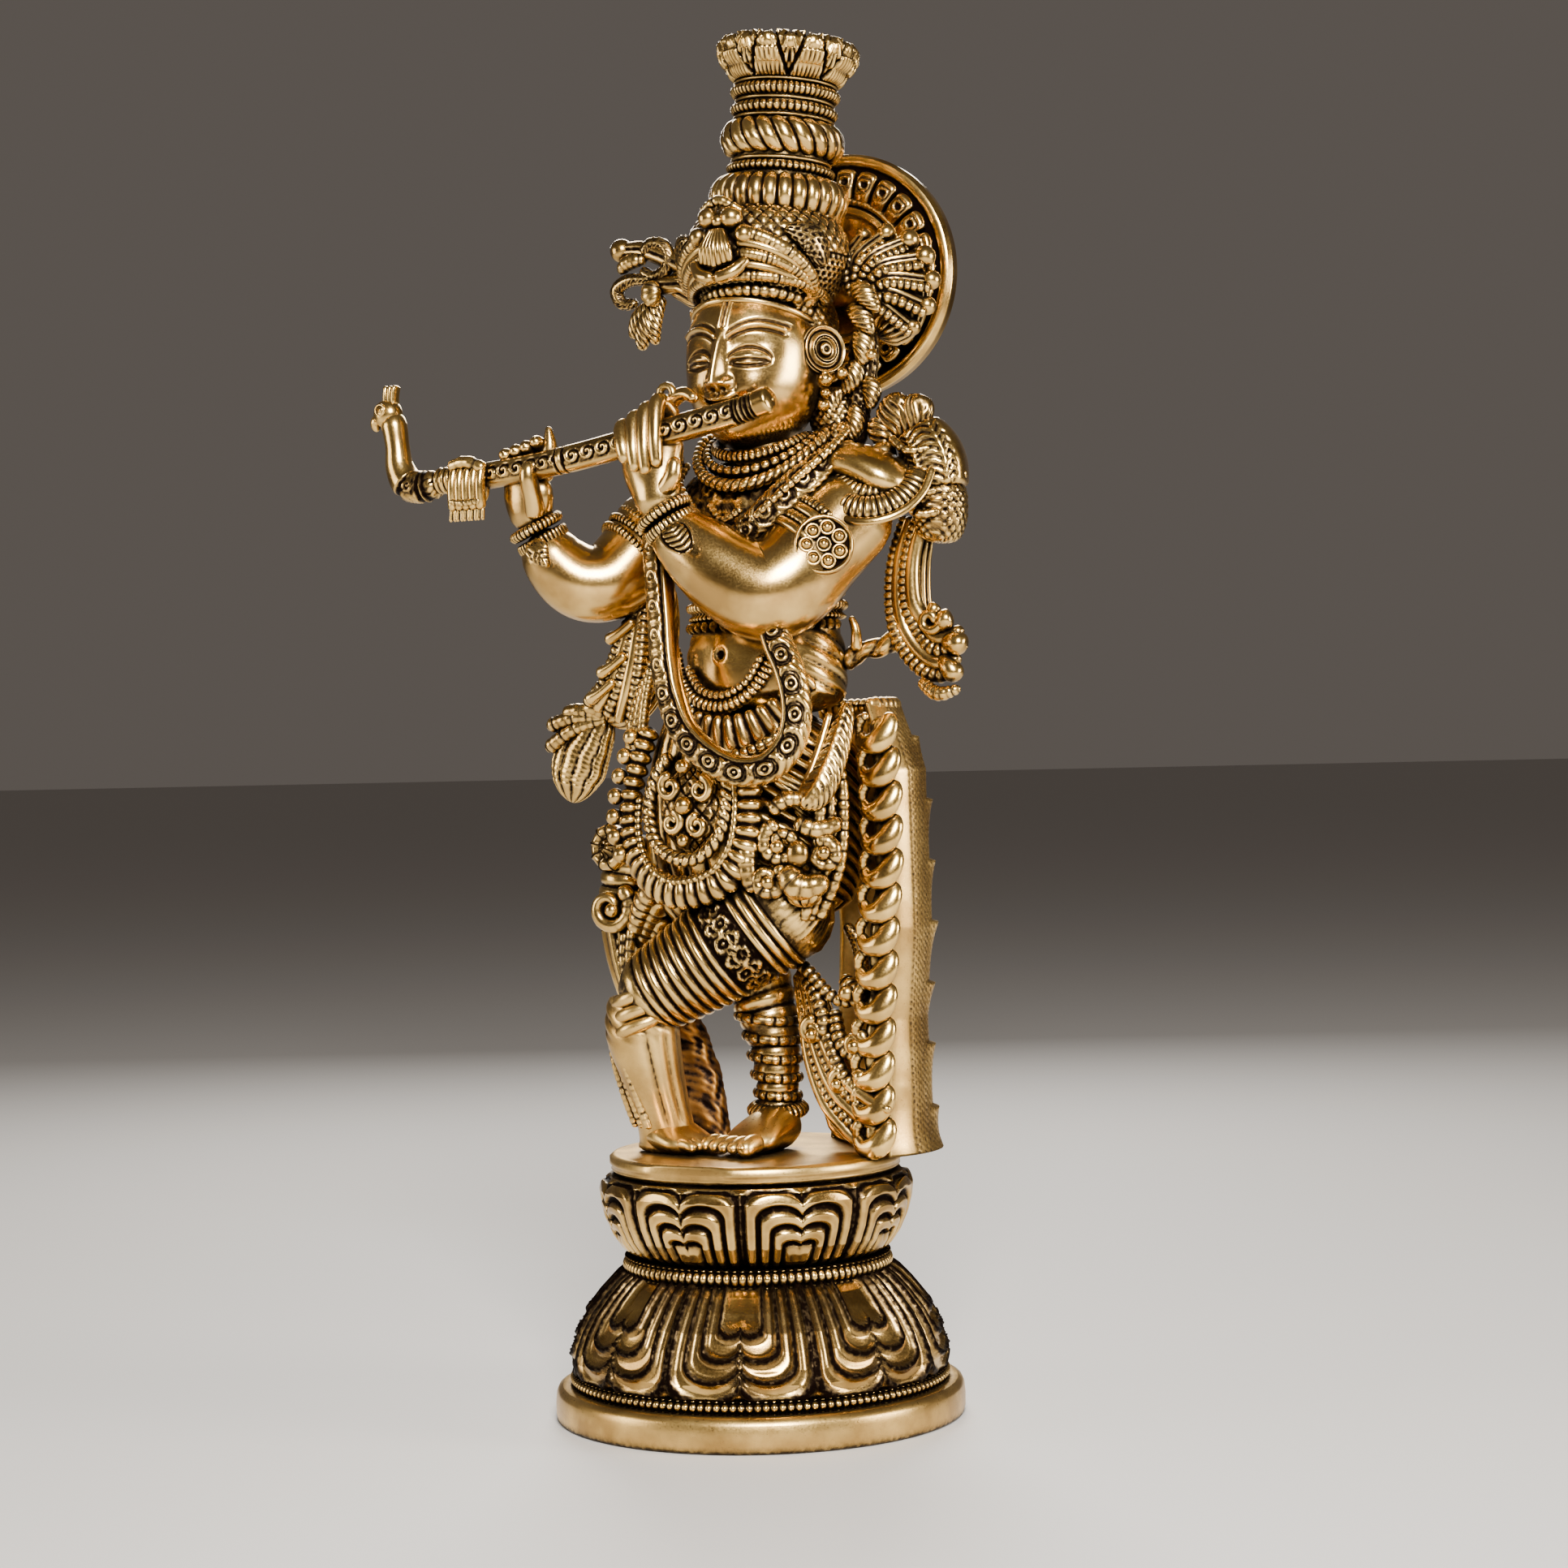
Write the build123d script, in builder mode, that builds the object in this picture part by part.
from build123d import *

import os
from math import radians, tan

# Brass figurine of a flute-playing deity on a double-lotus pedestal.
#
# The figure is an assembly of separate castings brazed together: a hollow pedestal in stacked
# tiers, the crossed legs and draped hips, the torso with its ornaments, two arms that hold a
# flute, and the head with turban, stacked crown and halo. Each later casting is coped, that is
# cut back, to the ones it is brazed on, so neighbours meet face to face.
#
# Frame: millimetres, +Z up, origin at the centre of the pedestal's underside. The figure faces
# -Y, and +X is the figure's own left.

# ------------------------------------------------------------------ driving dimensions
TOTAL_HEIGHT = 305.0

PLINTH_RADIUS = 45.5
PLINTH_HEIGHT = 7.5
PEDESTAL_WALL = 4.0  # wall of the hollow tiers between plinth and top slab
BEAD_RING_RADIUS = 42.0
BEAD_RING_TOP = 10.5
LOWER_LOTUS_TOP = 32.0
WAIST_RADIUS = 29.0
WAIST_RING_TOP = 36.0
UPPER_LOTUS_TOP = 54.5
SLAB_RADIUS = 32.5
SLAB_TOP = 58.5  # the feet stand on this level
PETAL_COUNT = 8  # double petals round each tier
PETAL_GROOVE = 0.9  # radius of the groove between two petals

HIP_TOP = 157.0  # joint plane between hips and torso
BODY_AXIS = (4.4, 3)  # upright axis of the waist
HEAD_CENTRE = (5, -1, 233)
HEAD_RADII = (15, 16.5, 20.5)
EAR_DISC_RADIUS = 5.0
TURBAN_RADII = (18.8, 19, 14.5)
CROWN_FOOT = Vector(9.3, 3, 265)
CROWN_TOP = Vector(12.6, 4, TOTAL_HEIGHT - 0.7)
HALO_CENTRE = (15, 24, 254)
HALO_RADIUS = 27.5
HALO_THICKNESS = 5.0

FLUTE_RADIUS = 3.1
GARLAND_RADIUS = 3.2
RUFFLE_RADIUS = 4.0
SASH_HEIGHT = 98.0

# joints of the limbs
LEFT_SHOULDER = (29, 2, 201)
LEFT_ELBOW = (13, -15, 178.5)
LEFT_WRIST = (-6.8, -21.5, 197.8)
LEFT_KNUCKLES = (-12.6, -24.5, 215)
RIGHT_SHOULDER = (-21, 5, 203)
RIGHT_ELBOW = (-32.5, -7, 185.5)
RIGHT_WRIST = (-44.5, -15.5, 198.5)
RIGHT_KNUCKLES = (-43.5, -18, 210)
LEFT_HIP_JOINT = (17.5, -1, 117)
LEFT_KNEE = (-18.5, -14, 94)
LEFT_ANKLE = (-17.5, -10.5, 68)
RIGHT_KNEE = (-6.5, 4, 105)
RIGHT_ANKLE = (3.8, 4, 68)


# ------------------------------------------------------------------ repeated forms
# Each helper adds its form to the casting whose block it is called in.
def limb(start, end, start_radius, end_radius):
    """A tapered round limb with a rounded cap at each joint."""
    start, end = Vector(*start), Vector(*end)
    along = (end - start).normalized()
    side = along.cross(Vector(0.13, 0.31, 0.94)).normalized()
    length = (end - start).length
    with BuildSketch(Plane(origin=start, x_dir=along, z_dir=side)) as half_section:
        with BuildLine():
            Line((-start_radius, 0), (length + end_radius, 0))
            RadiusArc((length + end_radius, 0), (length, end_radius), -end_radius)
            Line((length, end_radius), (0, start_radius))
            RadiusArc((0, start_radius), (-start_radius, 0), -start_radius)
        make_face()
    revolve(half_section.sketch, axis=Axis(start, along))


def limbs(points, radii):
    """Limbs through a list of joints, each ending just inside the one it runs into."""
    for start, end, start_radius, end_radius in zip(points, points[1:], radii, radii[1:]):
        limb(start, end, start_radius, end_radius if end == points[-1] else 0.96 * end_radius)


def rope(points, radius, bend_share=0.45):
    """A round rope on straight runs joined by tangent arcs as large as the runs allow."""
    points = [Vector(*point) for point in points]
    bends = []
    for before, here, after in zip(points, points[1:], points[2:]):
        turn = (here - before).get_angle(after - here)
        shorter_run = min((here - before).length, (after - here).length)
        bends.append(bend_share * shorter_run / tan(radians(turn / 2)))
    with BuildLine() as path:
        FilletPolyline(*points, radius=bends)
    with BuildSketch(Plane(origin=points[0], z_dir=points[1] - points[0])) as section:
        Circle(radius)
    sweep(section.sketch, path=path.line)


def turned(profile, plane=Plane.XY, mode=Mode.ADD):
    """A solid of revolution about a plane's normal, from (radius, height) points."""
    section_plane = Plane(origin=plane.origin, x_dir=plane.x_dir, z_dir=-plane.y_dir)
    with BuildSketch(section_plane) as section:
        with BuildLine():
            Polyline(*profile, close=True)
        make_face()
    revolve(section.sketch, axis=Axis(plane.origin, plane.z_dir), mode=mode)


def lotus_tier(outer, first_groove):
    """A hollow tier on an outer (radius, height) curve, grooved between its petals."""
    inner = [(radius - PEDESTAL_WALL, height) for radius, height in outer]
    with BuildSketch(Plane.XZ) as wall:
        with BuildLine():
            Spline(*outer)
            Line(outer[-1], inner[-1])
            Spline(*reversed(inner))
            Line(inner[0], outer[0])
        make_face()
    revolve(wall.sketch, axis=Axis.Z)
    low, middle, high = [Vector(radius, 0, height) for radius, height in outer[:: len(outer) // 2]]
    with BuildLine() as groove_path:
        ThreePointArc(low, middle, high)
    start_plane = Plane(origin=low, z_dir=groove_path.line % 0)
    with BuildSketch(start_plane) as groove_section:
        Circle(PETAL_GROOVE)
    groove = sweep(groove_section.sketch, path=groove_path.line, mode=Mode.PRIVATE)
    with PolarLocations(0, PETAL_COUNT, start_angle=first_groove):
        add(groove, mode=Mode.SUBTRACT)


def level_loft(stations):
    """A loft through level ellipses, each given as (x, y, z, x radius, y radius)."""
    sections = []
    for x, y, z, x_radius, y_radius in stations:
        with BuildSketch(Plane(origin=(x, y, z))) as section:
            Ellipse(x_radius, y_radius)
        sections.append(section.sketch)
    loft(sections)


def plate(outline, centre_y, thickness, edge=1.0):
    """An upright plate across the figure, cut to an (x, z) outline, with chamfered edges."""
    face_plane = Plane(origin=(0, centre_y, 0), x_dir=(1, 0, 0), z_dir=(0, -1, 0))
    with BuildSketch(face_plane) as face:
        with BuildLine():
            Polyline(*outline, close=True)
        make_face()
    blank = extrude(face.sketch, amount=thickness / 2, both=True, mode=Mode.PRIVATE)
    rims = blank.faces().filter_by(Axis.Y).edges()
    add(blank.chamfer(edge, None, rims))


def ellipsoid(centre, radii):
    """An upright ellipsoid."""
    with Locations(centre):
        add(scale(Solid.make_sphere(1, angle1=-90), by=radii, mode=Mode.PRIVATE))


def cuff(start, end, share, inner_radius, outer_radius, width):
    """A ring round a limb, at a share of the way along it."""
    start, end = Vector(*start), Vector(*end)
    along = (end - start).normalized()
    side = along.cross(Vector(0, 0, 1)).normalized()
    half = width / 2
    band = [(inner_radius, -half), (outer_radius, -half), (outer_radius, half), (inner_radius, half)]
    turned(band, Plane(origin=start + (end - start) * share, x_dir=side, z_dir=along))


def cope(casting, *neighbours):
    """Cut a casting back to the ones it is brazed on and keep its largest body."""
    for neighbour in neighbours:
        add(neighbour.part, mode=Mode.SUBTRACT)
    add(casting.solids().sort_by(SortBy.VOLUME)[-1], mode=Mode.REPLACE)


# ------------------------------------------------------------------ pedestal
with BuildPart() as plinth:
    with BuildSketch(Plane.XY):
        Circle(PLINTH_RADIUS)
    extrude(amount=PLINTH_HEIGHT)
    fillet(plinth.edges().filter_by(GeomType.CIRCLE), radius=1.4)

with BuildPart() as lower_bead_ring:
    with BuildSketch(Plane.XY.offset(PLINTH_HEIGHT)):
        Circle(BEAD_RING_RADIUS)
        Circle(BEAD_RING_RADIUS - PEDESTAL_WALL, mode=Mode.SUBTRACT)
    extrude(amount=BEAD_RING_TOP - PLINTH_HEIGHT)
    rounded = lower_bead_ring.edges().filter_by(GeomType.CIRCLE).sort_by(SortBy.RADIUS)[-2:]
    fillet(rounded, radius=1.1)

with BuildPart() as lower_lotus:
    lotus_tier(
        [(41, BEAD_RING_TOP), (40.3, 16), (37.6, 22.5), (33.2, 28), (29.2, LOWER_LOTUS_TOP)],
        first_groove=-90,
    )

with BuildPart() as waist_ring:
    with BuildSketch(Plane.XY.offset(LOWER_LOTUS_TOP)):
        Circle(WAIST_RADIUS + 0.8)
        Circle(WAIST_RADIUS - PEDESTAL_WALL, mode=Mode.SUBTRACT)
    extrude(amount=WAIST_RING_TOP - LOWER_LOTUS_TOP)
    rounded = waist_ring.edges().filter_by(GeomType.CIRCLE).sort_by(SortBy.RADIUS)[-2:]
    fillet(rounded, radius=1.2)

with BuildPart() as upper_lotus:
    lotus_tier(
        [(28.6, WAIST_RING_TOP), (32, 40.5), (34.2, 46), (34.5, 51), (33.2, UPPER_LOTUS_TOP)],
        first_groove=-90 + 180 / PETAL_COUNT,
    )

with BuildPart() as top_slab:
    with BuildSketch(Plane.XY.offset(UPPER_LOTUS_TOP)):
        Circle(SLAB_RADIUS)
    extrude(amount=SLAB_TOP - UPPER_LOTUS_TOP)
    fillet(top_slab.edges().group_by(Axis.Z)[-1], radius=0.8)

# Everything below the feet, as a tool for cutting the soles flat.
with BuildPart() as ground:
    with BuildSketch(Plane.XY):
        Circle(2 * PLINTH_RADIUS)
    extrude(amount=SLAB_TOP)

# ------------------------------------------------------------------ hips and torso
with BuildPart() as hip_wrap:
    level_loft(
        [
            (0.5, 3, 108, 20, 15),
            (0, 3, 122, 25, 18),
            (0.5, 3, 138, 26, 18.5),
            (1.5, 3, 150, 23, 16.5),
            (3.5, 3, HIP_TOP, 19, 14),
        ]
    )

with BuildPart() as torso:
    level_loft(
        [
            (3.5, 3, HIP_TOP, 19, 14),
            (4, 3, 168, 18.5, 15),
            (4.4, 3, 178, 16.5, 12.5),
            (4.4, 2, 190, 20.5, 14),
            (5.5, 1.5, 201, 23, 12.5),
            (6, 2, 208, 15, 9),
        ]
    )

# ------------------------------------------------------------------ legs
with BuildPart() as standing_shin:
    limb(RIGHT_KNEE, RIGHT_ANKLE, 7.5, 5.2)
    cope(standing_shin, hip_wrap)

with BuildPart() as crossed_thigh:
    limb(LEFT_HIP_JOINT, LEFT_KNEE, 13.5, 9.6)
    cope(crossed_thigh, hip_wrap, standing_shin)

with BuildPart() as crossed_shin:
    limb(LEFT_KNEE, LEFT_ANKLE, 9.2, 6.6)
    cope(crossed_shin, crossed_thigh, standing_shin)

with BuildPart() as standing_foot:
    limb((5.5, 4, 63), (3, -15, 60), 5.6, 5)
    cope(standing_foot, ground, standing_shin)

with BuildPart() as anklet:
    turned([(3, 66), (7, 66), (7, 69.4), (3, 69.4)], Plane(origin=(3.8, 4, 0)))
    cope(anklet, standing_shin, standing_foot)

with BuildPart() as crossed_foot:
    limb((-19, -8, 63), (-6, -15, 61), 6.4, 5.2)
    cope(crossed_foot, ground, crossed_shin, standing_foot)

with BuildPart() as support_web:
    plate([(-22, 57), (-7, 57), (-9, 72), (-15, 88), (-22, 88)], centre_y=2, thickness=7)
    cope(support_web, ground, crossed_shin, crossed_thigh, crossed_foot, standing_shin)

with BuildPart() as knee_drape:
    level_loft([(-29, 2, 90, 6, 6), (-31, 3, 103, 8, 8), (-33, 4, 118, 8.5, 8.5), (-31, 4, 128, 6, 6)])
    cope(knee_drape, hip_wrap, crossed_thigh, crossed_shin)

# ------------------------------------------------------------------ sash and lower drapery
with BuildPart() as sash_panel:
    # A tall cloak, open to the front and to the inside, round the figure's left side.
    with BuildSketch(Plane.XY.offset(SLAB_TOP)):
        with Locations((20, 10)):
            Ellipse(20, 17)
            Ellipse(15.5, 12.5, mode=Mode.SUBTRACT)
        with Locations((-2, 10)):
            Rectangle(40, 60, mode=Mode.SUBTRACT)
        with Locations((20, -12)):
            Rectangle(60, 26, mode=Mode.SUBTRACT)
    extrude(amount=SASH_HEIGHT)
    cope(sash_panel, hip_wrap, torso, crossed_thigh)

with BuildPart() as sash_ruffle:
    rope([(33, -1, 59.5), (32.2, -2, 85), (34.3, -0.5, 122), (33, 0, 155)], RUFFLE_RADIUS)
    cope(sash_ruffle, ground, sash_panel, hip_wrap, crossed_thigh)

with BuildPart() as lower_drape:
    plate(
        [(9, 58.5), (30, 58.5), (30, 92), (20, 96), (11, 92), (9, 70)],
        centre_y=1,
        thickness=8,
    )
    rope([(22, 4, 109), (25.5, 4, 101), (24, 4, 94), (21, 3, 90)], 1.8)
    cope(
        lower_drape,
        standing_shin,
        standing_foot,
        sash_panel,
        sash_ruffle,
        hip_wrap,
        crossed_thigh,
        anklet,
    )

# ------------------------------------------------------------------ belts and swags on the hips
with BuildPart() as waist_belt:
    rope([(-12, -7, 160), (-7, -13, 154), (3, -15.5, 151), (12, -14, 153.5), (19, -8, 159)], 2.6)
    cope(waist_belt, hip_wrap, torso)

with BuildPart() as belly_rope:
    rope([(-10, -8.5, 166.5), (-6, -11, 159.5), (2, -13, 156.6), (9, -12.5, 159), (13, -10.5, 165)], 1.7)
    cope(belly_rope, hip_wrap, torso, waist_belt)

with BuildPart() as front_swag:
    rope(
        [
            (-19, -9, 152),
            (-22, -11, 136),
            (-19, -14, 123),
            (-8, -17, 117.5),
            (5, -18, 120),
            (10, -17.5, 131),
            (9.5, -16.5, 143),
        ],
        3.0,
    )
    cope(front_swag, hip_wrap, crossed_thigh, knee_drape)

with BuildPart() as inner_swag:
    rope(
        [
            (-13, -15.5, 145),
            (-16, -15.5, 136),
            (-12, -17.5, 127),
            (-3, -19.5, 123.8),
            (4, -19, 129),
            (5, -18.5, 141),
        ],
        1.3,
    )
    cope(inner_swag, hip_wrap, front_swag)

with BuildPart() as swag_pendant:
    ellipsoid((-5.5, -16, 135), (6, 3.5, 8))
    cope(swag_pendant, hip_wrap, inner_swag, front_swag)

with BuildPart() as thigh_knots:
    limbs([(17, -14.5, 127), (25, -11, 122), (15.5, -15.5, 118)], [4.2, 4.6, 4.2])
    cope(thigh_knots, hip_wrap, crossed_thigh, front_swag, inner_swag)

with BuildPart() as hip_horn:
    rope([(28.5, -3, 154), (27.5, -8, 145), (24.5, -12.5, 135.5)], 3.2)
    cope(hip_horn, hip_wrap, torso, thigh_knots, sash_ruffle, sash_panel)

# ------------------------------------------------------------------ neck and head core
with BuildPart() as head:
    ellipsoid(HEAD_CENTRE, HEAD_RADII)

with BuildPart() as neck:
    limb((6, 2, 205), (5, 0, 221), 8.5, 7.5)
    cope(neck, torso, head)

# ------------------------------------------------------------------ arms, hands and flute
with BuildPart() as left_upper_arm:
    limb(LEFT_SHOULDER, LEFT_ELBOW, 10.5, 10)
    cope(left_upper_arm, torso, hip_wrap)

with BuildPart() as left_forearm:
    limb(LEFT_ELBOW, LEFT_WRIST, 10, 5.8)
    cope(left_forearm, left_upper_arm, torso)

with BuildPart() as right_upper_arm:
    limb(RIGHT_SHOULDER, RIGHT_ELBOW, 10, 8.8)
    cope(right_upper_arm, torso)

with BuildPart() as right_forearm:
    limb(RIGHT_ELBOW, RIGHT_WRIST, 8.8, 5.4)
    cope(right_forearm, right_upper_arm)

with BuildPart() as flute:
    rope([(19.6, -23.5, 221), (-12.6, -21.8, 215.4), (-43, -20, 211.2), (-68, -19, 210)], FLUTE_RADIUS)

with BuildPart() as flute_peacock:
    limbs(
        [(-68, -19, 210), (-75, -19, 210.4), (-79, -19, 215), (-79.5, -19, 222), (-80.5, -19, 226.5)],
        [3.3, 3.8, 3.3, 2.9, 3.4],
    )
    cope(flute_peacock, flute)

with BuildPart() as flute_tassel:
    plate([(-61, 200), (-53, 200), (-53.5, 213), (-60.5, 213)], centre_y=-20.5, thickness=8.5)
    cope(flute_tassel, flute)

with BuildPart() as left_hand:
    limbs([LEFT_WRIST, LEFT_KNUCKLES, (-11, -20, 221)], [5.4, 6.4, 4.6])
    cope(left_hand, left_forearm, flute, head, torso)

with BuildPart() as right_hand:
    limbs([RIGHT_WRIST, RIGHT_KNUCKLES, (-42.5, -15.5, 216)], [5.0, 5.4, 3.4])
    cope(right_hand, right_forearm, flute)

with BuildPart() as left_bracelet:
    cuff(LEFT_ELBOW, LEFT_WRIST, 0.95, inner_radius=3, outer_radius=7.2, width=3.2)
    cope(left_bracelet, left_forearm, left_hand)

with BuildPart() as right_bracelet:
    cuff(RIGHT_ELBOW, RIGHT_WRIST, 0.9, inner_radius=3, outer_radius=6.9, width=4.5)
    cope(right_bracelet, right_forearm, right_hand)

with BuildPart() as right_armlet:
    cuff(RIGHT_SHOULDER, RIGHT_ELBOW, 0.45, inner_radius=5, outer_radius=10.9, width=4)
    cope(right_armlet, right_upper_arm, right_forearm, torso)

with BuildPart() as armlet_rosette:
    rosette_plane = Plane(origin=(28, -13, 190), x_dir=(0.73, 0.68, 0), z_dir=(0.68, -0.73, 0))
    turned([(0, -4), (6.2, -4), (6.2, 1.2), (5, 2.4), (0, 2.8)], rosette_plane)
    cope(armlet_rosette, left_upper_arm, left_forearm, torso)

# ------------------------------------------------------------------ torso ornaments
with BuildPart() as waistband:
    turned([(12, 177), (18.2, 177), (18.2, 181.5), (12, 181.5)], Plane(origin=BODY_AXIS))
    cope(waistband, torso, left_upper_arm, left_forearm)

with BuildPart() as necklace:
    rope([(-5, 1, 214), (-4.5, -7, 211), (4, -12.5, 205.5), (14.5, -8, 209), (16.5, 0, 213.5)], 2.2)
    cope(necklace, torso, neck, head)

with BuildPart() as shoulder_collar:
    ellipsoid((31, 1, 204.5), (11.5, 12.5, 9))
    cope(shoulder_collar, torso, left_upper_arm, armlet_rosette, neck)

with BuildPart() as chest_strap:
    rope([(23, -6, 214), (18, -12, 206), (11, -16, 196), (5, -16, 188)], 3.0)
    cope(
        chest_strap, torso, neck, necklace, shoulder_collar, left_upper_arm, left_forearm, head
    )

with BuildPart() as garland:
    rope(
        [
            (-15, -14, 200),
            (-12, -16.5, 187),
            (-9.5, -19, 172),
            (-7, -21, 159),
            (0, -22.5, 148),
            (11, -23.5, 142.5),
            (20.5, -22, 146.5),
            (23.5, -20.5, 156),
            (19, -18.5, 168),
        ],
        GARLAND_RADIUS,
    )
    cope(
        garland,
        hip_wrap,
        torso,
        left_forearm,
        left_upper_arm,
        right_upper_arm,
        left_hand,
        left_bracelet,
        waist_belt,
        belly_rope,
        front_swag,
        inner_swag,
        swag_pendant,
        waistband,
        hip_horn,
        thigh_knots,
    )

# ------------------------------------------------------------------ scarf
with BuildPart() as shoulder_tuft:
    level_loft(
        [(43.5, 9, 194, 5, 5.5), (43, 9, 203, 7.5, 8), (41, 10, 212, 6.5, 7), (37, 10, 218, 3, 4)]
    )
    plate([(30, 213), (43, 215), (42, 227), (38, 226), (29, 221)], centre_y=11, thickness=7)
    cope(shoulder_tuft, left_upper_arm, shoulder_collar, torso, head)

with BuildPart() as left_scarf_tail:
    limbs(
        [(38, 8, 197), (34.5, 10, 187), (34.5, 10, 175), (38.5, 10, 168), (50, 10, 165)],
        [4.5, 3.6, 3.8, 4.8, 5.8],
    )
    rope([(22, 7, 166), (28, 8.5, 170), (35, 10, 170.5)], 2.2)
    cope(
        left_scarf_tail,
        shoulder_tuft,
        torso,
        left_upper_arm,
        hip_wrap,
        sash_panel,
        shoulder_collar,
    )

with BuildPart() as right_scarf_folds:
    limbs([(-26, 3, 184), (-27, 5, 170), (-33, 6, 156), (-43, 6, 153)], [3.2, 5.5, 6, 5])
    cope(right_scarf_folds, torso, hip_wrap, right_upper_arm, right_forearm, front_swag)

with BuildPart() as right_scarf_fan:
    plate(
        [(-38, 153), (-54.5, 154.5), (-55, 149), (-51, 140), (-47, 134), (-42, 135), (-38, 142)],
        centre_y=6,
        thickness=7,
    )
    cope(right_scarf_fan, right_scarf_folds, hip_wrap, knee_drape)

# ------------------------------------------------------------------ turban, crown and halo
CROWN_HEIGHT = (CROWN_TOP - CROWN_FOOT).length
CROWN_PLANE = Plane(origin=CROWN_FOOT, x_dir=(1, 0, 0), z_dir=CROWN_TOP - CROWN_FOOT)

with BuildPart() as turban:
    ellipsoid((7.5, 1, 256), TURBAN_RADII)
    split(bisect_by=CROWN_PLANE, keep=Keep.BOTTOM)
    cope(turban, head)

with BuildPart() as crown_base_ring:
    turned([(0, 0), (13.2, 0), (14.8, 3), (14.4, 7), (12, 8.5), (0, 8.5)], CROWN_PLANE)

with BuildPart() as crown_column:
    turned(
        [
            (0, 8.5),
            (10.5, 8.5),
            (11.4, 11),
            (10.2, 14),
            (13.2, 16.5),
            (12.8, 19.5),
            (10.4, 21),
            (11, 23.5),
            (10.2, 25),
            (11.3, 27.5),
            (10.6, 29),
            (0, 29),
        ],
        CROWN_PLANE,
    )

with BuildPart() as crown_flare:
    turned(
        [(0, 29), (11, 29), (15.3, 35.5), (15.2, 37), (13, CROWN_HEIGHT), (0, CROWN_HEIGHT)],
        CROWN_PLANE,
    )

with BuildPart() as turban_ornament:
    limb((6, -18, 253), (7, -15.5, 263), 3.4, 3.6)
    cope(turban_ornament, turban, head)


def ear_disc(side):
    """An ear with its round earring, on the figure's left (+1) or right (-1)."""
    disc_plane = Plane(origin=(HEAD_CENTRE[0] + side * 13, 1, 235), x_dir=(0, 1, 0), z_dir=(side, 0, 0))
    rim = EAR_DISC_RADIUS
    turned([(0, 0), (rim, 0), (rim, 3.5), (0.7 * rim, 5.2), (0, 5.2)], disc_plane)


with BuildPart() as left_ear_disc:
    ear_disc(1)
    cope(left_ear_disc, head, turban)

with BuildPart() as right_ear_disc:
    ear_disc(-1)
    cope(right_ear_disc, head, turban)

HALO_PLANE = Plane(origin=HALO_CENTRE, x_dir=(1, 0, 0), z_dir=(0, -1, 0))
HALF_HALO = HALO_THICKNESS / 2

with BuildPart() as halo_disc:
    turned(
        [
            (0, -HALF_HALO),
            (HALO_RADIUS - 1, -HALF_HALO),
            (HALO_RADIUS, 0),
            (HALO_RADIUS - 1, HALF_HALO),
            (HALO_RADIUS - 2, HALF_HALO + 2),
            (HALO_RADIUS - 10, HALF_HALO + 2),
            (HALO_RADIUS - 11, HALF_HALO),
            (7, HALF_HALO),
            (7, 14),
            (0, 14),
        ],
        HALO_PLANE,
    )
    cope(halo_disc, turban, head, crown_base_ring, crown_column)

# ------------------------------------------------------------------ hair
with BuildPart() as left_hair_curls:
    limbs(
        [(24, 9, 262), (33, 14, 257), (36, 16, 247), (29.5, 12, 236), (29, 9.5, 224)],
        [4, 6, 6.5, 5, 4],
    )
    cope(
        left_hair_curls,
        turban,
        crown_base_ring,
        head,
        left_ear_disc,
        halo_disc,
        shoulder_collar,
        shoulder_tuft,
    )

with BuildPart() as right_hair_curls:
    limbs([(-9, 4, 250), (-19, 4, 253), (-29, 4, 259)], [5, 5.5, 4.5])
    limb((-20, 4, 250), (-25.5, 4, 242), 4, 4)
    cope(right_hair_curls, turban, head, right_ear_disc, halo_disc)

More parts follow.
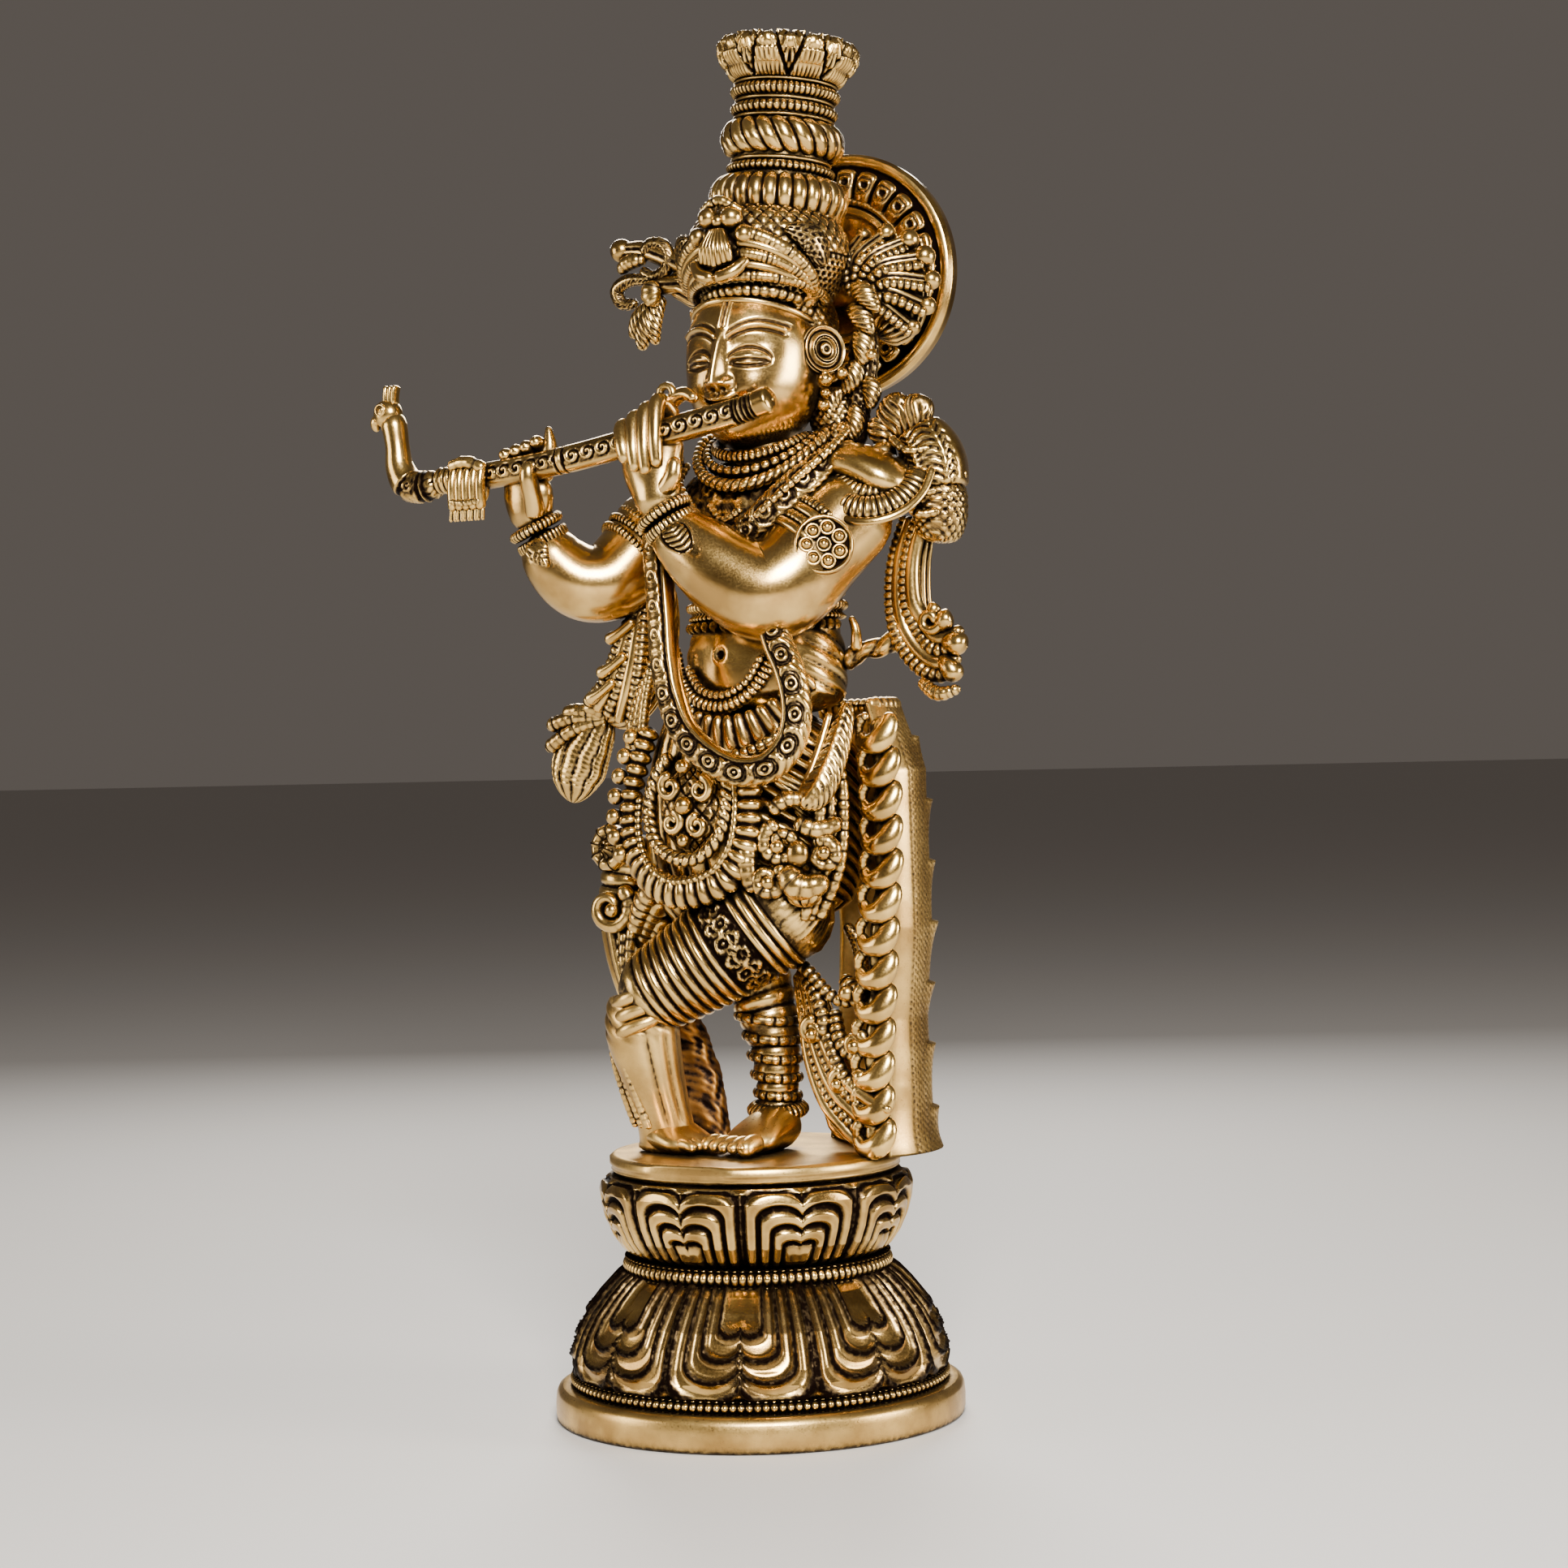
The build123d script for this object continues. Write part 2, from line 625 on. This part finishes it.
# ------------------------------------------------------------------ labels and files
CASTINGS = {
    "plinth": plinth,
    "lower_bead_ring": lower_bead_ring,
    "lower_lotus": lower_lotus,
    "waist_ring": waist_ring,
    "upper_lotus": upper_lotus,
    "top_slab": top_slab,
    "hip_wrap": hip_wrap,
    "torso": torso,
    "standing_shin": standing_shin,
    "crossed_thigh": crossed_thigh,
    "crossed_shin": crossed_shin,
    "standing_foot": standing_foot,
    "anklet": anklet,
    "crossed_foot": crossed_foot,
    "support_web": support_web,
    "knee_drape": knee_drape,
    "sash_panel": sash_panel,
    "sash_ruffle": sash_ruffle,
    "lower_drape": lower_drape,
    "waist_belt": waist_belt,
    "belly_rope": belly_rope,
    "front_swag": front_swag,
    "inner_swag": inner_swag,
    "swag_pendant": swag_pendant,
    "thigh_knots": thigh_knots,
    "hip_horn": hip_horn,
    "neck": neck,
    "head": head,
    "left_upper_arm": left_upper_arm,
    "left_forearm": left_forearm,
    "left_hand": left_hand,
    "left_bracelet": left_bracelet,
    "armlet_rosette": armlet_rosette,
    "right_upper_arm": right_upper_arm,
    "right_forearm": right_forearm,
    "right_hand": right_hand,
    "right_bracelet": right_bracelet,
    "right_armlet": right_armlet,
    "flute": flute,
    "flute_peacock": flute_peacock,
    "flute_tassel": flute_tassel,
    "waistband": waistband,
    "necklace": necklace,
    "shoulder_collar": shoulder_collar,
    "chest_strap": chest_strap,
    "garland": garland,
    "shoulder_tuft": shoulder_tuft,
    "left_scarf_tail": left_scarf_tail,
    "right_scarf_folds": right_scarf_folds,
    "right_scarf_fan": right_scarf_fan,
    "turban": turban,
    "turban_ornament": turban_ornament,
    "left_ear_disc": left_ear_disc,
    "right_ear_disc": right_ear_disc,
    "crown_base_ring": crown_base_ring,
    "crown_column": crown_column,
    "crown_flare": crown_flare,
    "halo_disc": halo_disc,
    "left_hair_curls": left_hair_curls,
    "right_hair_curls": right_hair_curls,
}

os.makedirs("parts", exist_ok=True)
for label, casting in CASTINGS.items():
    casting.part.label = label
    export_step(casting.part, f"parts/{label}.step")
